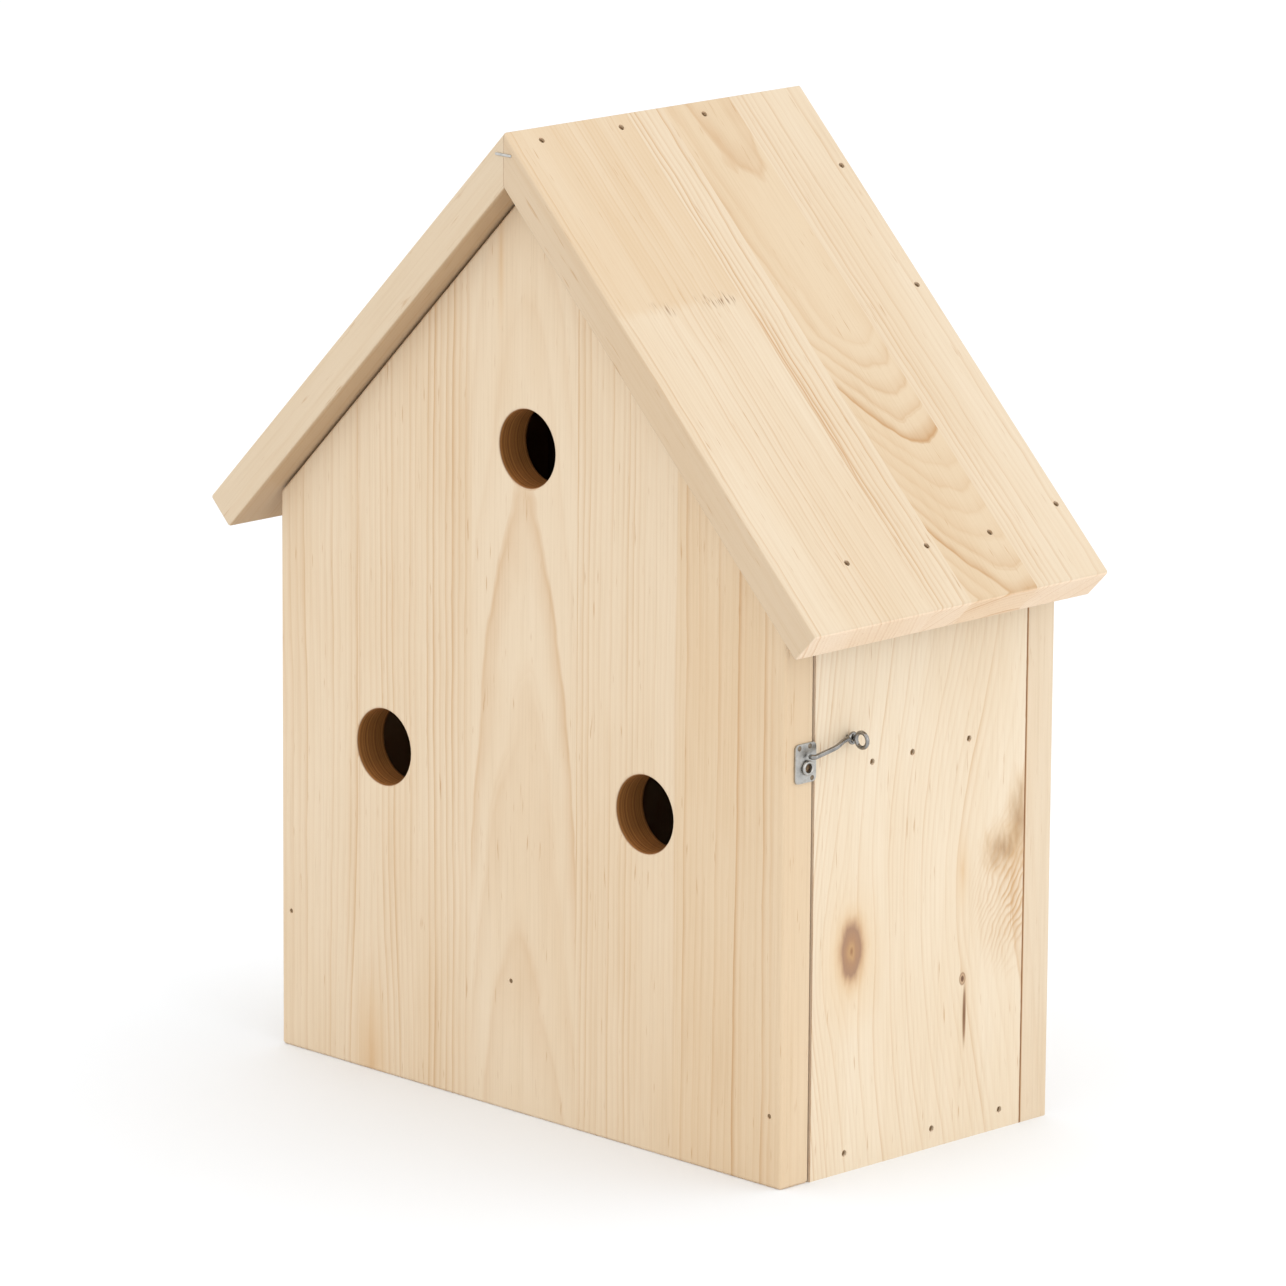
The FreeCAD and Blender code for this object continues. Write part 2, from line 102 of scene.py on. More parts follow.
class Graph:
    """A material's node tree, with short calls for the nodes that the wood and steel need."""

    def __init__(self, name):
        self.material = bpy.data.materials.new(name)
        self.material.use_nodes = True
        self.tree = self.material.node_tree
        self.shader = self.tree.nodes["Principled BSDF"]

    def node(self, kind, **settings):
        made = self.tree.nodes.new(kind)
        for key, value in settings.items():
            setattr(made, key, value)
        return made

    def feed(self, socket, value):
        """Links a socket, or sets a plain number, colour or vector on it."""
        if isinstance(value, bpy.types.NodeSocket):
            self.tree.links.new(value, socket)
        elif value is not None:
            socket.default_value = value

    def feed_all(self, node, values):
        for socket, value in zip(node.inputs, values):
            self.feed(socket, value)

    def math(self, operation, *values):
        made = self.node("ShaderNodeMath", operation=operation)
        self.feed_all(made, values)
        return made.outputs[0]

    def minus(self, first, second):
        return self.math("SUBTRACT", first, second)

    def times(self, first, *others):
        for other in others:
            first = self.math("MULTIPLY", first, other)
        return first

    def over(self, first, second):
        return self.math("DIVIDE", first, second)

    def times_plus(self, value, factor, added):
        return self.math("MULTIPLY_ADD", value, factor, added)

    def rest(self, share):
        """What a share leaves of the whole."""
        return self.minus(1.0, share)

    def distance_to(self, value, place):
        return self.math("ABSOLUTE", self.minus(value, place))

    def rise(self, value, low, high):
        """0 below low, 1 above high and a straight line between."""
        made = self.node("ShaderNodeMapRange")
        self.feed(made.inputs["Value"], value)
        made.inputs["From Min"].default_value = low
        made.inputs["From Max"].default_value = high
        return made.outputs[0]

    def fall(self, value, low, high):
        """1 below low, 0 above high and a straight line between."""
        return self.rest(self.rise(value, low, high))

    def vector(self, operation, *values):
        made = self.node("ShaderNodeVectorMath", operation=operation)
        self.feed_all(made, values)
        return made.outputs["Value" if operation in ("DOT_PRODUCT", "LENGTH") else "Vector"]

    def combine(self, *values):
        made = self.node("ShaderNodeCombineXYZ")
        self.feed_all(made, values)
        return made.outputs[0]

    def length(self, *values):
        return self.vector("LENGTH", self.combine(*values))

    def noise_node(self, place, scale, detail, roughness=0.5):
        made = self.node("ShaderNodeTexNoise")
        self.feed(made.inputs["Vector"], place)
        made.inputs["Scale"].default_value = scale
        made.inputs["Detail"].default_value = detail
        made.inputs["Roughness"].default_value = roughness
        return made

    def noise(self, place, scale, detail, roughness=0.5):
        """Noise from 0 to 1."""
        return self.noise_node(place, scale, detail, roughness).outputs[0]

    def centred_noises(self, place, scale, detail):
        """Three separate noises, each around 0."""
        channels = self.noise_node(place, scale, detail).outputs[1]
        parts = self.node("ShaderNodeSeparateXYZ")
        self.feed(parts.inputs[0], self.vector("SUBTRACT", channels, (0.5, 0.5, 0.5)))
        return parts.outputs

    def ramp_node(self, factor, stops, interpolation="LINEAR"):
        """A colour ramp from (place, colour) pairs. A number stands for a grey."""
        made = self.node("ShaderNodeValToRGB")
        made.color_ramp.interpolation = interpolation
        elements = made.color_ramp.elements
        while len(elements) < len(stops):
            elements.new(1.0)
        for element, (place, colour) in zip(elements, stops):
            element.position = place
            element.color = grey(colour) if isinstance(colour, (int, float)) else colour
        self.feed(made.inputs[0], factor)
        return made

    def ramp(self, factor, *stops):
        return self.ramp_node(factor, stops).outputs[0]

    def mix(self, factor, first, second, blend="MIX"):
        made = self.node("ShaderNodeMix", data_type="RGBA", blend_type=blend)
        self.feed(made.inputs[0], factor)
        self.feed(made.inputs[6], first)
        self.feed(made.inputs[7], second)
        return made.outputs[2]

    def tint(self, colour, factor):
        """A colour multiplied by another."""
        return self.mix(1.0, colour, factor, "MULTIPLY")

    def bump(self, height, distance, strength):
        made = self.node("ShaderNodeBump")
        made.inputs["Strength"].default_value = strength
        made.inputs["Distance"].default_value = distance
        self.feed(made.inputs["Height"], height)
        return made.outputs[0]

    def finish(self, colour, roughness, normal=None):
        """Sets the surface's colour and roughness, and its relief where it has one."""
        self.feed(self.shader.inputs["Base Color"], colour)
        self.feed(self.shader.inputs["Roughness"], roughness)
        self.feed(self.shader.inputs["Normal"], normal)


# ---------------------------------------------------------------- pine

# The largest pith distance, in mm, and the largest taper that a strip's packed colour can hold.
PITH_REACH = 300.0
TAPER_REACH = 0.5
# How far a strip's tint shifts its noise, in mm, so that neighbours differ.
STRIP_SHIFT = 700.0
# How fast a knot's push on the grain falls off, and the share of the taper before a board's tongues start.
KNOT_FALL = -0.2
BEFORE_TONGUE = 0.12
NO_TONGUE = -1000.0
# The depth of the wood's relief, in metres.
FIBRE_RELIEF = 0.00018


class Mark:
    """A knot or blemish: an ellipse in a board's face, in mm, with colours from its middle outwards."""

    def __init__(self, across, along, half_width, half_length, stops, bends_grain=0.0, ragged=0.0):
        self.across = across
        self.along = along
        self.half_width = half_width
        self.half_length = half_length
        self.stops = stops
        self.bends_grain = bends_grain
        self.ragged = ragged


class Stave:
    """One strip of a glued-up board: where it ends and how it was cut from the log.

    The pith is given as its place across the board and its depth under the face. One far to the side
    gives straight lines. One under the strip gives arches, and taper sets how far apart they stand.
    """

    def __init__(self, ends_at, pith, taper=0.0, tint=0.5):
        self.ends_at = ends_at
        self.pith_across, self.pith_depth = pith
        self.taper = taper
        self.tint = tint

    def packed(self):
        """The strip's numbers as the four parts of a colour."""
        return (0.5 + self.pith_across / PITH_REACH / 2, self.pith_depth / PITH_REACH, self.tint,
                0.5 + self.taper / TAPER_REACH / 2)


class Board:
    """A board's own axes in the frame, the strips it is made of, and how strongly its grain shows."""

    def __init__(self, name, origin, across, grain, outward, low, staves, spacing=2.6, wobble=8.0,
                 ripple=0.8, contrast=0.6, marks=(), tone=(1.0, 1.0, 1.0), tongue=NO_TONGUE):
        self.name = name
        self.origin = origin
        self.across = across
        self.grain = grain
        self.outward = outward
        self.low = low
        self.staves = staves
        self.spacing = spacing
        self.wobble = wobble
        self.ripple = ripple
        self.contrast = contrast
        self.marks = marks
        self.tone = tone
        self.tongue = tongue


class Pine:
    """The node material of one board, built up step by step."""

    def __init__(self, board):
        self.board = board
        self.graph = Graph(board.name)
        self.find_axes()
        self.find_stave()

    def find_axes(self):
        """The point being shaded in the board's axes, in mm, and how much it is end or edge."""
        graph = self.graph
        board = self.board
        place = graph.node("ShaderNodeTexCoord")
        local = graph.vector("MULTIPLY_ADD", place.outputs["Object"], (MM, MM, MM), tuple(-board.origin * MM))
        self.side, self.up, self.deep = (graph.vector("DOT_PRODUCT", local, tuple(axis))
                                         for axis in (board.across, board.grain, board.outward))
        normal = place.outputs["Normal"]
        along, sideways = (graph.math("ABSOLUTE", graph.vector("DOT_PRODUCT", normal, tuple(axis)))
                           for axis in (board.grain, board.across))
        self.end_share = graph.ramp(along, (0.55, 0), (0.85, 1))
        self.edge_share = graph.ramp(sideways, (0.60, 0), (0.90, 1))

    def find_stave(self):
        """Looks up the strip under the point. A ramp of steps holds each strip's numbers as a colour."""
        graph = self.graph
        low = self.board.low
        width = self.board.staves[-1].ends_at - low
        stops = []
        start = low
        for stave in self.board.staves:
            stops.append(((start - low) / width, stave.packed()))
            start = stave.ends_at
        share = graph.over(graph.minus(self.side, low), width)
        found = graph.ramp_node(share, stops, "CONSTANT")
        parts = graph.node("ShaderNodeSeparateColor")
        graph.feed(parts.inputs[0], found.outputs[0])
        self.pith_across = graph.times(graph.minus(parts.outputs[0], 0.5), PITH_REACH * 2)
        self.pith_depth = graph.times(parts.outputs[1], PITH_REACH)
        self.tint = parts.outputs[2]
        self.taper = graph.times(graph.minus(found.outputs[1], 0.5), TAPER_REACH * 2)

    def stretched(self, along, shift=0.0):
        """The point with its distance along the grain shrunk, so that noise there runs with the grain."""
        graph = self.graph
        side = graph.times_plus(self.tint, STRIP_SHIFT + shift, self.side)
        return graph.combine(side, graph.times(self.up, along), self.deep)

    def streaks(self, along, scale, detail, roughness=0.5, shift=0.0):
        """Noise from 0 to 1, drawn out along the grain. A shift gives another pattern of the same kind."""
        return self.graph.noise(self.stretched(along, shift), scale, detail, roughness)

    def ring_radius(self, pushed):
        """Distance from the pith, bent by the trunk's slow drift and by small ripples."""
        graph = self.graph
        board = self.board
        drift = graph.centred_noises(self.stretched(0.32), scale=0.012, detail=2.0)
        ripple = graph.centred_noises(self.stretched(0.45), scale=0.07, detail=2.0)
        side = graph.times_plus(drift[0], board.wobble, graph.minus(pushed, self.pith_across))
        deep = graph.times_plus(drift[1], board.wobble, graph.math("ADD", self.deep, self.pith_depth))
        beyond = graph.minus(self.up, board.tongue)
        beyond = graph.math("MAXIMUM", beyond, graph.times(beyond, BEFORE_TONGUE))
        radius = graph.times_plus(beyond, self.taper, graph.length(side, deep, 0.0))
        radius = graph.times_plus(drift[2], board.wobble / 2, radius)
        return graph.times_plus(ripple[0], board.ripple, radius)

    def mark_distance(self, mark, rough):
        """How far the point is from a mark's middle, where 1 is its edge, and how far to the side."""
        graph = self.graph
        side = graph.over(graph.minus(self.side, mark.across), mark.half_width)
        up = graph.over(graph.minus(self.up, mark.along), mark.half_length)
        distance = graph.length(side, up, 0.0)
        if mark.ragged:
            distance = graph.times_plus(graph.minus(rough, 0.5), mark.ragged, distance)
        return distance, side

    def pushed_aside(self, offsets):
        """The place across the board before the knots pushed the grain aside."""
        graph = self.graph
        place = self.side
        for mark, (distance, offset) in zip(self.board.marks, offsets):
            if mark.bends_grain:
                fall = graph.math("EXPONENT", graph.times(distance, distance, KNOT_FALL))
                place = graph.times_plus(graph.times(offset, fall), -mark.bends_grain, place)
        return place

    def rings(self, offsets):
        """How dark the late wood is at the point. Pale wood darkens to a thin line and stops short."""
        graph = self.graph
        board = self.board
        turns = graph.over(self.ring_radius(self.pushed_aside(offsets)), board.spacing)
        line = graph.ramp(graph.math("FRACT", turns), (0.0, 0.30), (0.10, 0.0), (0.40, 0.08), (0.78, 0.62),
                          (0.90, 1.0), (1.0, 0.30))
        chance = graph.node("ShaderNodeTexWhiteNoise", noise_dimensions="1D")
        graph.feed(chance.inputs["W"], graph.math("FLOOR", turns))
        weight = graph.ramp(chance.outputs["Value"], (0.0, 0.10), (0.55, 0.34), (0.85, 0.72), (1.0, 1.0))
        faint = self.streaks(along=0.16, scale=0.05, detail=2.0, shift=90.0)
        fade = graph.ramp(faint, (0.30, 0.45), (0.62, 1.0))
        plain = graph.ramp(self.tint, (0.0, 1.0), (0.5, 0.9), (1.0, 0.35))
        off_edge = graph.rest(graph.times(self.edge_share, 0.75))
        return graph.times(line, board.contrast, weight, fade, plain, off_edge)

    def tinted(self, colour, fibre):
        """Fine fibres, soft warm patches and each strip's own tint."""
        graph = self.graph
        patch = self.streaks(along=0.20, scale=0.028, detail=3.0)
        streak = graph.ramp(fibre, (0.30, (0.945, 0.925, 0.90, 1)), (0.50, 1), (0.70, (1.02, 1.025, 1.04, 1)))
        warm = graph.ramp(patch, (0.34, (0.965, 0.935, 0.895, 1)), (0.56, 1), (0.72, (1.01, 1.02, 1.035, 1)))
        strip = graph.ramp(self.tint, (0.0, (0.95, 0.90, 0.83, 1)), (0.5, 1), (1.0, (1.02, 1.035, 1.06, 1)))
        for factor in (streak, warm, strip):
            colour = graph.tint(colour, factor)
        return colour

    def flecked(self, colour):
        """Short thin resin flecks that run with the grain."""
        graph = self.graph
        fleck = self.streaks(along=0.07, scale=0.62, detail=2.0, roughness=0.6, shift=300.0)
        return graph.mix(graph.ramp(fleck, (0.66, 0.0), (0.75, 0.55)), colour, FLECK)

    def marked(self, colour, offsets):
        """The knots and blemishes laid over the wood."""
        graph = self.graph
        for mark, (distance, _) in zip(self.board.marks, offsets):
            found = graph.ramp_node(graph.times(distance, 0.5), mark.stops)
            colour = graph.mix(found.outputs[1], colour, found.outputs[0])
        return colour

    def relief(self, fibre, late):
        """Raised fibres and late wood, and saw marks on the ends."""
        graph = self.graph
        saw = graph.noise(graph.combine(self.side, self.up, self.deep), scale=1.6, detail=4.0, roughness=0.7)
        height = graph.times_plus(late, 0.5, graph.times(fibre, 0.7))
        height = graph.times_plus(graph.times(saw, self.end_share), 2.6, height)
        return graph.bump(height, FIBRE_RELIEF, strength=0.55)

    def paint(self, lays=()):
        """Builds the whole material. Each lay is a function that returns a share and a colour to lay over."""
        graph = self.graph
        rough = self.streaks(along=0.3, scale=0.30, detail=3.0)
        offsets = [self.mark_distance(mark, rough) for mark in self.board.marks]
        late = self.rings(offsets)
        fibre = self.streaks(along=0.016, scale=0.9, detail=4.0, roughness=0.62)
        colour = self.flecked(self.tinted(graph.mix(late, EARLY, LATE), fibre))
        colour = self.marked(colour, offsets)
        for lay in lays:
            share, over = lay(self)
            colour = graph.mix(share, colour, over)
        # The board's ends are lightened: painted light.
        colour = graph.mix(self.end_share, colour, graph.tint(colour, END_FACE_PAINTED_LIGHT))
        colour = graph.tint(colour, (*self.board.tone, 1.0))
        graph.finish(colour, graph.ramp(fibre, (0.25, 0.54), (0.75, 0.70)), self.relief(fibre, late))
        graph.shader.inputs["Specular IOR Level"].default_value = 0.30
        return graph.material


# ---------------------------------------------------------------- what is laid over the pine: marks, and painted shade

# How far above a board's inner face its painted shade starts, and where it is whole, in mm.
FACE_STARTS = 0.7
FACE_WHOLE = 0.3
# Turning grain: its slant across and along the board, its unevenness in mm and its bow.
CURL_ACROSS = -0.80
CURL_ALONG = 0.60
CURL_WANDER = 14.0
CURL_BOW = 0.012
# How far broken fibres move the edge of a joint's painted shade line, as a share of its width.
JOINT_RAGGED = 1.1
# How far outside a bored hole its brown of scorch and painted shade starts to fade, and ends, in mm.
RIM_STARTS = 0.15
RIM_ENDS = 0.6
# A finger joint's dashes: how near its level they are, and how they fade at the row's ends, in mm.
DASH_WHOLE = 0.5
DASH_REACH = 5.0
DASH_FADE = 1.5
# The border of a strip's warmer length: how ragged it is, and how soft at its end and its side, in mm.
LENGTH_RAGGED = 9.0
LENGTH_FADE = 2.5
STRIP_FADE = 0.2
# A resin streak: how far it wanders and how it fades in and out, in mm, and how far it covers the wood.
RESIN_WANDER = 6.0
RESIN_FADE_IN = 12.0
RESIN_FADE_OUT = 40.0
RESIN_SHARE = 0.75


def painted_inner_shade(thickness, colour=PAINTED_INSIDE_SHADE, strength=1.0):
    """Painted shade on a board's inner face: a brown laid over the wood, for the shade inside the house or
    under the roof.
    """
    def lay(pine):
        graph = pine.graph
        painted_shade_share = graph.rise(graph.times(pine.deep, -1.0), thickness - FACE_STARTS, thickness - FACE_WHOLE)
        return graph.times(painted_shade_share, strength), colour
    return lay


def sawn_edge(strength):
    """The sawn front and rear edges of a roof board, browner than its planed face."""
    def lay(pine):
        return pine.graph.times(pine.edge_share, strength), SAWN
    return lay


def curl(across, along, half_width, half_length, strength, spacing=3.6):
    """Fine slanting lines, where the grain turns around a knot just off the board."""
    def lay(pine):
        graph = pine.graph
        side = graph.minus(pine.side, across)
        up = graph.minus(pine.up, along)
        slant = graph.times_plus(side, CURL_ACROSS, graph.times(up, CURL_ALONG))
        drift = pine.streaks(along=0.8, scale=0.06, detail=2.0, shift=500.0)
        slant = graph.times_plus(drift, CURL_WANDER, slant)
        slant = graph.times_plus(graph.times(side, side), CURL_BOW, slant)
        turns = graph.math("FRACT", graph.over(slant, spacing))
        line = graph.ramp(turns, (0.0, 0.1), (0.35, 0.2), (0.75, 1.0), (1.0, 0.1))
        patch = pine.streaks(along=0.6, scale=0.08, detail=3.0, shift=800.0)
        patch = graph.ramp(patch, (0.35, 0.25), (0.6, 1.0))
        away = graph.length(graph.over(side, half_width), graph.over(up, half_length), 0.0)
        return graph.times(graph.fall(away, 0.25, 1.0), line, patch, strength), CURL
    return lay


def joint_shade_line(place, half_width):
    """Painted shade: a thin brown line along a joint in the board's face, for the shade in the gap there,
    ragged where fibres broke away.
    """
    def lay(pine):
        graph = pine.graph
        fibres = graph.combine(pine.side, graph.times(pine.up, 0.30), 0.0)
        rough = graph.noise(fibres, scale=0.5, detail=3.0)
        away = graph.times_plus(rough, -JOINT_RAGGED * half_width, graph.distance_to(pine.side, place))
        return graph.times(graph.fall(away, 0.0, half_width), graph.rest(pine.edge_share)), JOINT_SHADE
    return lay


def scorch_and_shade_bore(across, along, radius):
    """The wall of a round hole, brown partly from the cutter's scorch and partly from painted shade inside
    the hole.
    """
    def lay(pine):
        graph = pine.graph
        from_axis = graph.length(graph.minus(pine.side, across), graph.minus(pine.up, along), 0.0)
        cut = graph.combine(from_axis, graph.times(pine.deep, 2.0), 0.0)
        rings = graph.noise(cut, scale=0.5, detail=2.0)
        brown = graph.ramp(rings, (0.35, SCORCH_AND_SHADE_DARK), (0.65, SCORCH_AND_SHADE_PALE))
        return graph.fall(from_axis, radius + RIM_STARTS, radius + RIM_ENDS), brown
    return lay


def finger_joint(level, starts, ends, strength):
    """Short broken dashes along the grain, where two lengths of a strip meet."""
    def lay(pine):
        graph = pine.graph
        near = graph.fall(graph.distance_to(pine.up, level), DASH_WHOLE, DASH_REACH)
        after = graph.rise(pine.side, starts, starts + DASH_FADE)
        before = graph.fall(pine.side, ends - DASH_FADE, ends)
        fibres = graph.combine(pine.side, graph.times(pine.up, 0.13), 0.0)
        spot = graph.noise(fibres, scale=0.75, detail=1.5)
        return graph.times(graph.rise(spot, 0.54, 0.66), near, after, before, strength), SPLINTER
    return lay


def warmer_above(level, ends, strength):
    """The upper length of a finger-jointed strip, cut from warmer wood than the lower one."""
    def lay(pine):
        graph = pine.graph
        rough = pine.streaks(along=0.2, scale=0.5, detail=2.0)
        ragged = graph.times_plus(rough, LENGTH_RAGGED, graph.minus(pine.up, LENGTH_RAGGED / 2))
        above = graph.fall(ragged, level - LENGTH_FADE, level + LENGTH_FADE)
        inside = graph.fall(pine.side, ends - STRIP_FADE, ends + STRIP_FADE)
        patch = graph.rise(pine.streaks(along=0.1, scale=0.05, detail=2.0), 0.10, 0.65)
        return graph.times(graph.rest(pine.edge_share), above, inside, patch, strength), WARMER
    return lay


def resin_line(across, starts, ends, half_width):
    """A thin orange-brown streak running with the grain."""
    def lay(pine):
        graph = pine.graph
        drift = graph.noise(graph.combine(3.0, pine.up, 0.0), scale=0.02, detail=2.0)
        middle = graph.times_plus(drift, RESIN_WANDER, across - RESIN_WANDER / 2)
        on_line = graph.fall(graph.distance_to(pine.side, middle), 0.0, half_width)
        after = graph.rise(pine.up, starts, starts + RESIN_FADE_IN)
        before = graph.fall(pine.up, ends - RESIN_FADE_OUT, ends)
        return graph.times(on_line, after, before, RESIN_SHARE), RESIN
    return lay


# ---------------------------------------------------------------- the boards

# The outermost strips run this far past the house's faces, in mm.
BEYOND = 5.0


def corner_of(node, picks=(0, 0, 0)):
    """A corner of a node's box, picked as 0 for low or 1 for high on each axis."""
    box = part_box(node)
    return Vector([box[pick][axis] for axis, pick in enumerate(picks)])


def size_of(node, axis):
    low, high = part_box(node)
    return (high[axis] - low[axis]) * MM


def set_material(node, material):
    for slot in frame["nodes"][node].material_slots:
        slot.material = material


# The house's front face, in metres. Then its board stock, and how far strips run to the side and back, in mm.
FRONT_Y = corner_of("front_panel").y
STOCK = size_of("front_panel", 1)
HALF_WIDTH = size_of("front_panel", 0) / 2 + BEYOND
HOUSE_DEPTH = (corner_of("back_panel", (0, 1, 0)).y - FRONT_Y) * MM + BEYOND


def front_wood():
    """Places are from the panel's middle line and up from its foot."""
    origin = Vector((0.0, FRONT_Y, corner_of("front_panel").z))
    staves = [Stave(-112, (-250, 120), tint=0.46), Stave(-36, (120, 160), tint=0.42),
              Stave(32, (-3, 115), taper=0.034, tint=0.47), Stave(96, (-190, 140), tint=0.40),
              Stave(HALF_WIDTH, (280, 130), tint=0.04)]
    marks = [Mark(-103, 4, 9, 30, ORANGE, bends_grain=5.0), Mark(-17, 400, 1.6, 26, ORANGE)]
    board = Board("front_pine", origin, X, Z, -Y, -HALF_WIDTH, staves, spacing=3.1, wobble=6.5, ripple=1.1,
                  contrast=0.76, marks=marks, tone=FRONT_TONE)
    # The front panel's inner face gets painted shade.
    lays = [painted_inner_shade(STOCK)]
    for mount in frame["record"]["mounts"]:
        if mount["kind"] == "bore":
            at = Vector(mount["pos_m"]) * MM
            # The holes' walls get scorch brown with painted shade.
            lays.append(scorch_and_shade_bore(at.x, at.z, mount["dims"]["r_mm"]))
    return Pine(board).paint(lays)


def back_wood():
    """Places are from the panel's middle line, as seen from behind, and up from the floor."""
    origin = Vector((0.0, corner_of("back_panel", (0, 1, 0)).y, 0.0))
    staves = [Stave(-90, (20, 110), taper=0.05, tint=0.4), Stave(-20, (-230, 90), tint=0.6),
              Stave(60, (20, 80), taper=0.08), Stave(HALF_WIDTH, (240, 100), tint=0.45)]
    marks = [Mark(72, 120, 8, 12, KNOT, bends_grain=8.0, ragged=0.3)]
    board = Board("back_pine", origin, -X, Z, Y, -HALF_WIDTH, staves, spacing=2.8, ripple=0.9, marks=marks,
                  tone=BACK_TONE)
    # The back panel's inner face gets painted shade.
    return Pine(board).paint([painted_inner_shade(size_of("back_panel", 1))])


def side_wood(side, marks, staves, lays=()):
    """A side panel. Places are behind the house's front face and up from the floor."""
    node = f"{side}_side_panel"
    outward = X if side == "right" else -X
    face = corner_of(node, (1 if side == "right" else 0, 0, 0))
    origin = Vector((face.x, FRONT_Y, 0.0))
    near, far = ((corner_of(node, (0, pick, 0)).y - FRONT_Y) * MM for pick in (0, 1))
    board = Board(f"{side}_side_pine", origin, Y, Z, outward, 0, staves, spacing=3.2, wobble=10.0, ripple=1.6,
                  contrast=0.70, marks=marks, tone=SIDE_TONE)
    # Painted shade lines along the joints with the front and back panels.
    joint_shades = [joint_shade_line(near, half_width=0.30), joint_shade_line(far, half_width=0.42)]
    # The side panel's inner face gets painted shade.
    return Pine(board).paint([painted_inner_shade(size_of(node, 0)), *joint_shades, *lays])


def right_side_wood():
    """One knot with its halo, and at the rear edge the smear and turning grain of another off the board."""
    marks = [Mark(44, 98, 17, 28, HALO, bends_grain=7.0),
             Mark(44, 102.5, 7.0, 13, KNOT, bends_grain=5.0, ragged=0.5),
             Mark(153, 144, 7, 17, SMEAR, ragged=1.3),
             Mark(142, 133, 10, 9, SMEAR, ragged=1.6),
             Mark(168, 112, 46, 52, CLEAR, bends_grain=36.0),
             Mark(118.5, 59, 1.2, 15, SLIT),
             Mark(117, 76, 1.9, 2.8, SPECK, bends_grain=1.2),
             Mark(116, 127, 3.0, 13, ORANGE, ragged=0.5)]
    staves = [Stave(HOUSE_DEPTH, (270, 60), tint=0.62)]
    turning = curl(150.0, 112.0, half_width=32.0, half_length=44.0, strength=0.85)
    return side_wood("right", marks, staves, [turning])


def left_side_wood():
    marks = [Mark(66, 190, 6, 9, KNOT, bends_grain=9.0, ragged=0.3)]
    staves = [Stave(70, (84, 90), taper=0.06, tint=0.6), Stave(HOUSE_DEPTH, (-180, 80), tint=0.55)]
    return side_wood("left", marks, staves)


def roof_wood(side, staves, marks=(), lays=(), contrast=0.6, tongue=NO_TONGUE):
    """A roof board. Places are behind the house's front face and down the slope from the ridge."""
    node = f"{side}_roof_board"
    sign = 1 if side == "right" else -1
    down = Vector((sign, 0, -1)).normalized()
    outward = Vector((sign, 0, 1)).normalized()
    origin = Vector((0.0, FRONT_Y, corner_of(node, (0, 0, 1)).z))
    low = (corner_of(node).y - FRONT_Y) * MM - BEYOND
    board = Board(f"{side}_roof_pine", origin, Y, down, outward, low, staves, spacing=2.4, wobble=7.0,
                  ripple=2.2, contrast=contrast, marks=marks, tone=ROOF_TONE, tongue=tongue)
    return Pine(board).paint(lays)


def right_roof_wood():
    """Four strips. The first is finger-jointed, and the third shows tongues of ring lines."""
    joint = 104.0
    first_ends = 62
    staves = [Stave(first_ends, (-270, 120), tint=0.74), Stave(84, (200, 120)),
              Stave(127, (116, 80), taper=0.17, tint=0.10), Stave(HOUSE_DEPTH, (270, 120), tint=0.80)]
    lays = [sawn_edge(0.35),
            warmer_above(joint, first_ends, strength=0.40),
            finger_joint(joint, starts=4.0, ends=21.0, strength=0.55),
            finger_joint(joint, starts=34.0, ends=60.0, strength=0.9),
            resin_line(64.0, starts=108.0, ends=235.0, half_width=0.7),
            resin_line(68.5, starts=112.0, ends=210.0, half_width=0.5)]
    return roof_wood("right", staves, lays=lays, contrast=1.05, tongue=132.0)


def left_roof_wood():
    marks = [Mark(80, 190, 7, 12, KNOT, bends_grain=10.0, ragged=0.3)]
    staves = [Stave(40, (250, 120), tint=0.45), Stave(112, (72, 90), taper=0.10),
              Stave(HOUSE_DEPTH, (-200, 110), tint=0.4)]
    # The left roof's sawn edges are browner, and its underside gets painted shade.
    lays = [sawn_edge(0.15), painted_inner_shade(STOCK, PAINTED_UNDERSIDE_SHADE, strength=0.55)]
    return roof_wood("left", staves, marks, lays)


def inner_wood(name, node, grain, across, outward):
    """A board inside the house, with a darker tone that is painted shade. Places are from its middle."""
    low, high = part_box(node)
    origin = (Vector(low) + Vector(high)) / 2
    staves = [Stave(-40, (-120, 100), tint=0.4), Stave(40, (10, 90), taper=0.05),
              Stave(HALF_WIDTH, (260, 100), tint=0.45)]
    board = Board(name, origin, across, grain, outward, -HALF_WIDTH, staves, tone=INNER_SHADE_TONE)
    return Pine(board).paint()


# ---------------------------------------------------------------- steel

# Patterns per metre in the steel, how far its clouds go from the tone, and its relief in metres.
CLOUD_SCALE = 260.0
SCRATCH_SCALES = (900.0, 6000.0, 900.0)
SPANGLE_SCALE = 700.0
PALER = 1.18
DARKER = 0.72
STEEL_RELIEF = 0.00006


def brightened(tone, factor):
    return (*(min(1.0, level * factor) for level in tone[:3]), 1.0)


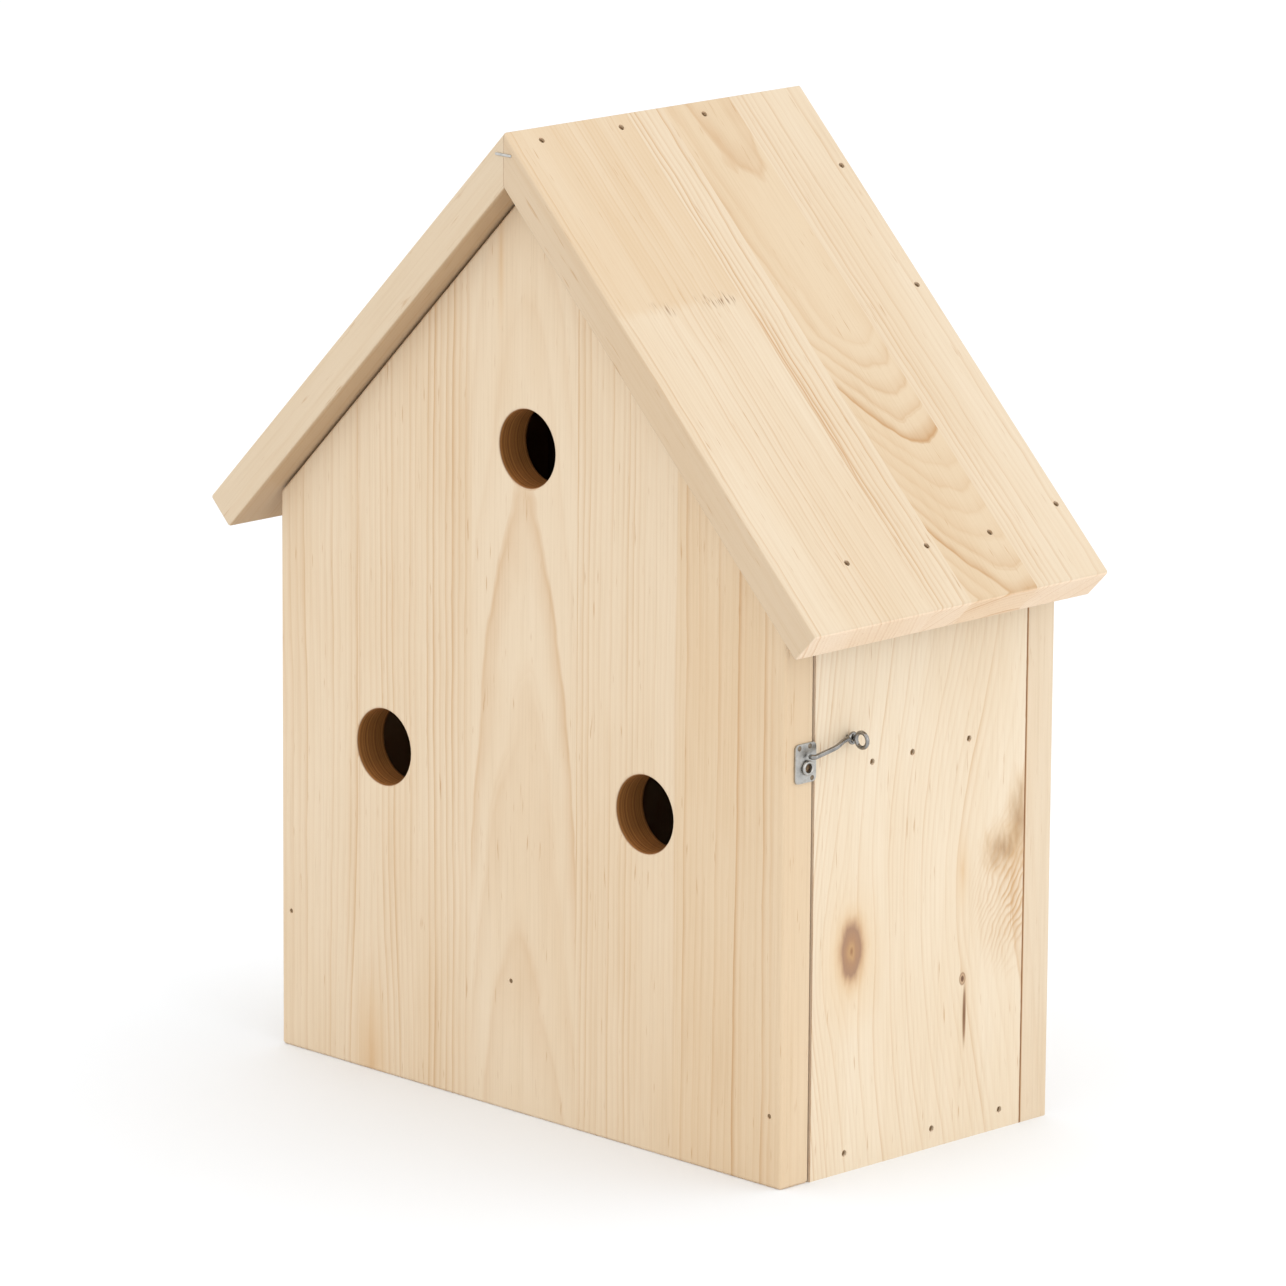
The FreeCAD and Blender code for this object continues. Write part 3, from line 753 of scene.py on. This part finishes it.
def steel(name, tone, roughness, spangle=0.0, stain=0.3):
    """Dull zinc-plated steel: cloudy tone, fine scratches and a little brown tarnish."""
    graph = Graph(name)
    place = graph.node("ShaderNodeTexCoord").outputs["Object"]
    cloud = graph.noise(place, CLOUD_SCALE, detail=4.0, roughness=0.55)
    scratch = graph.noise(graph.vector("MULTIPLY", place, SCRATCH_SCALES), scale=1.0, detail=2.0)
    colour = graph.ramp(cloud, (0.30, brightened(tone, DARKER)), (0.5, tone), (0.72, brightened(tone, PALER)))
    if spangle:
        cell = graph.node("ShaderNodeTexVoronoi")
        graph.feed(cell.inputs["Vector"], place)
        cell.inputs["Scale"].default_value = SPANGLE_SCALE
        colour = graph.tint(colour, graph.ramp(cell.outputs["Color"], (0.0, 1 - spangle), (1.0, 1 + spangle)))
    tarnish = graph.ramp(graph.noise(place, CLOUD_SCALE, detail=3.0), (0.56, 0), (0.72, stain))
    colour = graph.mix(tarnish, colour, TARNISH)
    sheen = graph.ramp(cloud, (0.3, roughness - 0.08), (0.7, roughness + 0.1))
    height = graph.times_plus(scratch, 0.35, cloud)
    graph.finish(colour, sheen, graph.bump(height, STEEL_RELIEF, strength=0.5))
    graph.shader.inputs["Metallic"].default_value = 1.0
    return graph.material


def dress_wood():
    woods = {
        "front_panel": front_wood(),
        "back_panel": back_wood(),
        "right_side_panel": right_side_wood(),
        "left_side_panel": left_side_wood(),
        "right_roof_board": right_roof_wood(),
        "left_roof_board": left_roof_wood(),
        "floor_board": inner_wood("floor_pine", "floor_board", X, Y, Z),
        "middle_shelf": inner_wood("shelf_pine", "middle_shelf", X, Y, Z),
        "lower_divider": inner_wood("divider_pine", "lower_divider", Z, Y, X),
    }
    for node, wood in woods.items():
        set_material(node, wood)


def dress_steel():
    """Each steel piece takes its finish from the last word of its name."""
    nail = steel("nail_steel", srgb(150, 128, 100), 0.50, stain=0.7)
    tack = steel("tack_steel", srgb(128, 116, 100), 0.45, stain=0.6)
    plate = steel("latch_plate_steel", srgb(180, 178, 173), 0.34, spangle=0.08, stain=0.22)
    wire = steel("hook_wire_steel", srgb(150, 148, 145), 0.22, stain=0.12)
    staple = steel("staple_wire", srgb(190, 188, 184), 0.32, stain=0.1)
    finishes = {"nails": nail, "pin": nail, "tacks": tack, "plate": plate, "eyelet": plate,
                "hook": wire, "eye": wire, "staple": staple}
    for node in frame["nodes"]:
        finish = finishes.get(node.split("_")[-1])
        if finish:
            set_material(node, finish)


# ---------------------------------------------------------------- studio

# Places are in metres, angles in degrees, and the film and lens in mm.
CAMERA_PLACE = Vector((2.723, -2.711, 1.115))
CAMERA_AZIMUTH = 45.26
CAMERA_ELEVATION = 13.27
CAMERA_ROLL = 0.40
FILM_WIDTH = 36.0
LENS = 239.5
CLIP_END = 100.0
SKY = 1.22
TOP_LIGHT = 0.30
TOP_LIGHT_ANGLE = 50.0
TOP_LIGHT_DIRECTION = Vector((-0.30, -0.50, -1.0))
MIDDLE = Vector((0.0, 0.0, 0.22))
FLOOR_HALF = 30.0


def add_to_scene(thing):
    bpy.context.scene.collection.objects.link(thing)


def floor():
    """A pale floor, large enough to fill the picture."""
    corners = [(x * FLOOR_HALF, y * FLOOR_HALF, 0) for x, y in ((-1, -1), (1, -1), (1, 1), (-1, 1))]
    mesh = bpy.data.meshes.new("studio_floor")
    mesh.from_pydata(corners, [], [(0, 1, 2, 3)])
    surface = bpy.data.objects.new("studio_floor", mesh)
    add_to_scene(surface)
    graph = Graph("studio_floor_paint")
    cloud = graph.noise(graph.node("ShaderNodeTexCoord").outputs["Object"], scale=3.0, detail=2.0)
    tone = graph.ramp(cloud, (0.3, (0.812, 0.83, 0.85, 1)), (0.7, (0.828, 0.845, 0.865, 1)))
    graph.finish(tone, 0.8)
    graph.shader.inputs["Specular IOR Level"].default_value = 0.05
    mesh.materials.append(graph.material)


def sky():
    """Even white surroundings."""
    world = bpy.data.worlds.new("studio_white")
    bpy.context.scene.world = world
    world.use_nodes = True
    background = world.node_tree.nodes["Background"]
    background.inputs["Color"].default_value = grey(1.0)
    background.inputs["Strength"].default_value = SKY


def lamp(name, kind, power, direction):
    made = bpy.data.objects.new(name, bpy.data.lights.new(name, kind))
    made.data.energy = power
    made.rotation_euler = direction.to_track_quat("-Z", "Y").to_euler()
    add_to_scene(made)
    return made


def softbox(name, place, width, power, tint=(1.0, 1.0, 1.0)):
    """A round lamp that looks at the middle of the house."""
    made = lamp(name, "AREA", power, MIDDLE - Vector(place))
    made.location = place
    made.data.shape = "DISK"
    made.data.size = width
    made.data.color = tint


def lights():
    """A broad light from above and behind for the soft shadow at the foot, and two softboxes."""
    top = lamp("top_light", "SUN", TOP_LIGHT, TOP_LIGHT_DIRECTION)
    top.data.angle = math.radians(TOP_LIGHT_ANGLE)
    softbox("side_softbox", (3.2, -0.3, 1.1), width=1.8, power=13.0, tint=(1.0, 0.99, 0.97))
    softbox("front_softbox", (-0.6, -3.2, 1.5), width=2.0, power=7.0)


def camera():
    data = bpy.data.cameras.new("camera")
    data.sensor_width = FILM_WIDTH
    data.lens = LENS
    data.clip_end = CLIP_END
    seer = bpy.data.objects.new("camera", data)
    azimuth = math.radians(CAMERA_AZIMUTH)
    elevation = math.radians(CAMERA_ELEVATION)
    back = Vector((math.sin(azimuth) * math.cos(elevation), -math.cos(azimuth) * math.cos(elevation),
                   math.sin(elevation)))
    turn = (-back).to_track_quat("-Z", "Y").to_matrix().to_4x4()
    roll = Matrix.Rotation(math.radians(CAMERA_ROLL), 4, "Z")
    seer.matrix_world = Matrix.Translation(CAMERA_PLACE) @ turn @ roll
    add_to_scene(seer)
    bpy.context.scene.camera = seer


dress_wood()
dress_steel()
floor()
sky()
lights()
camera()
bpy.context.scene.view_settings.view_transform = "Standard"
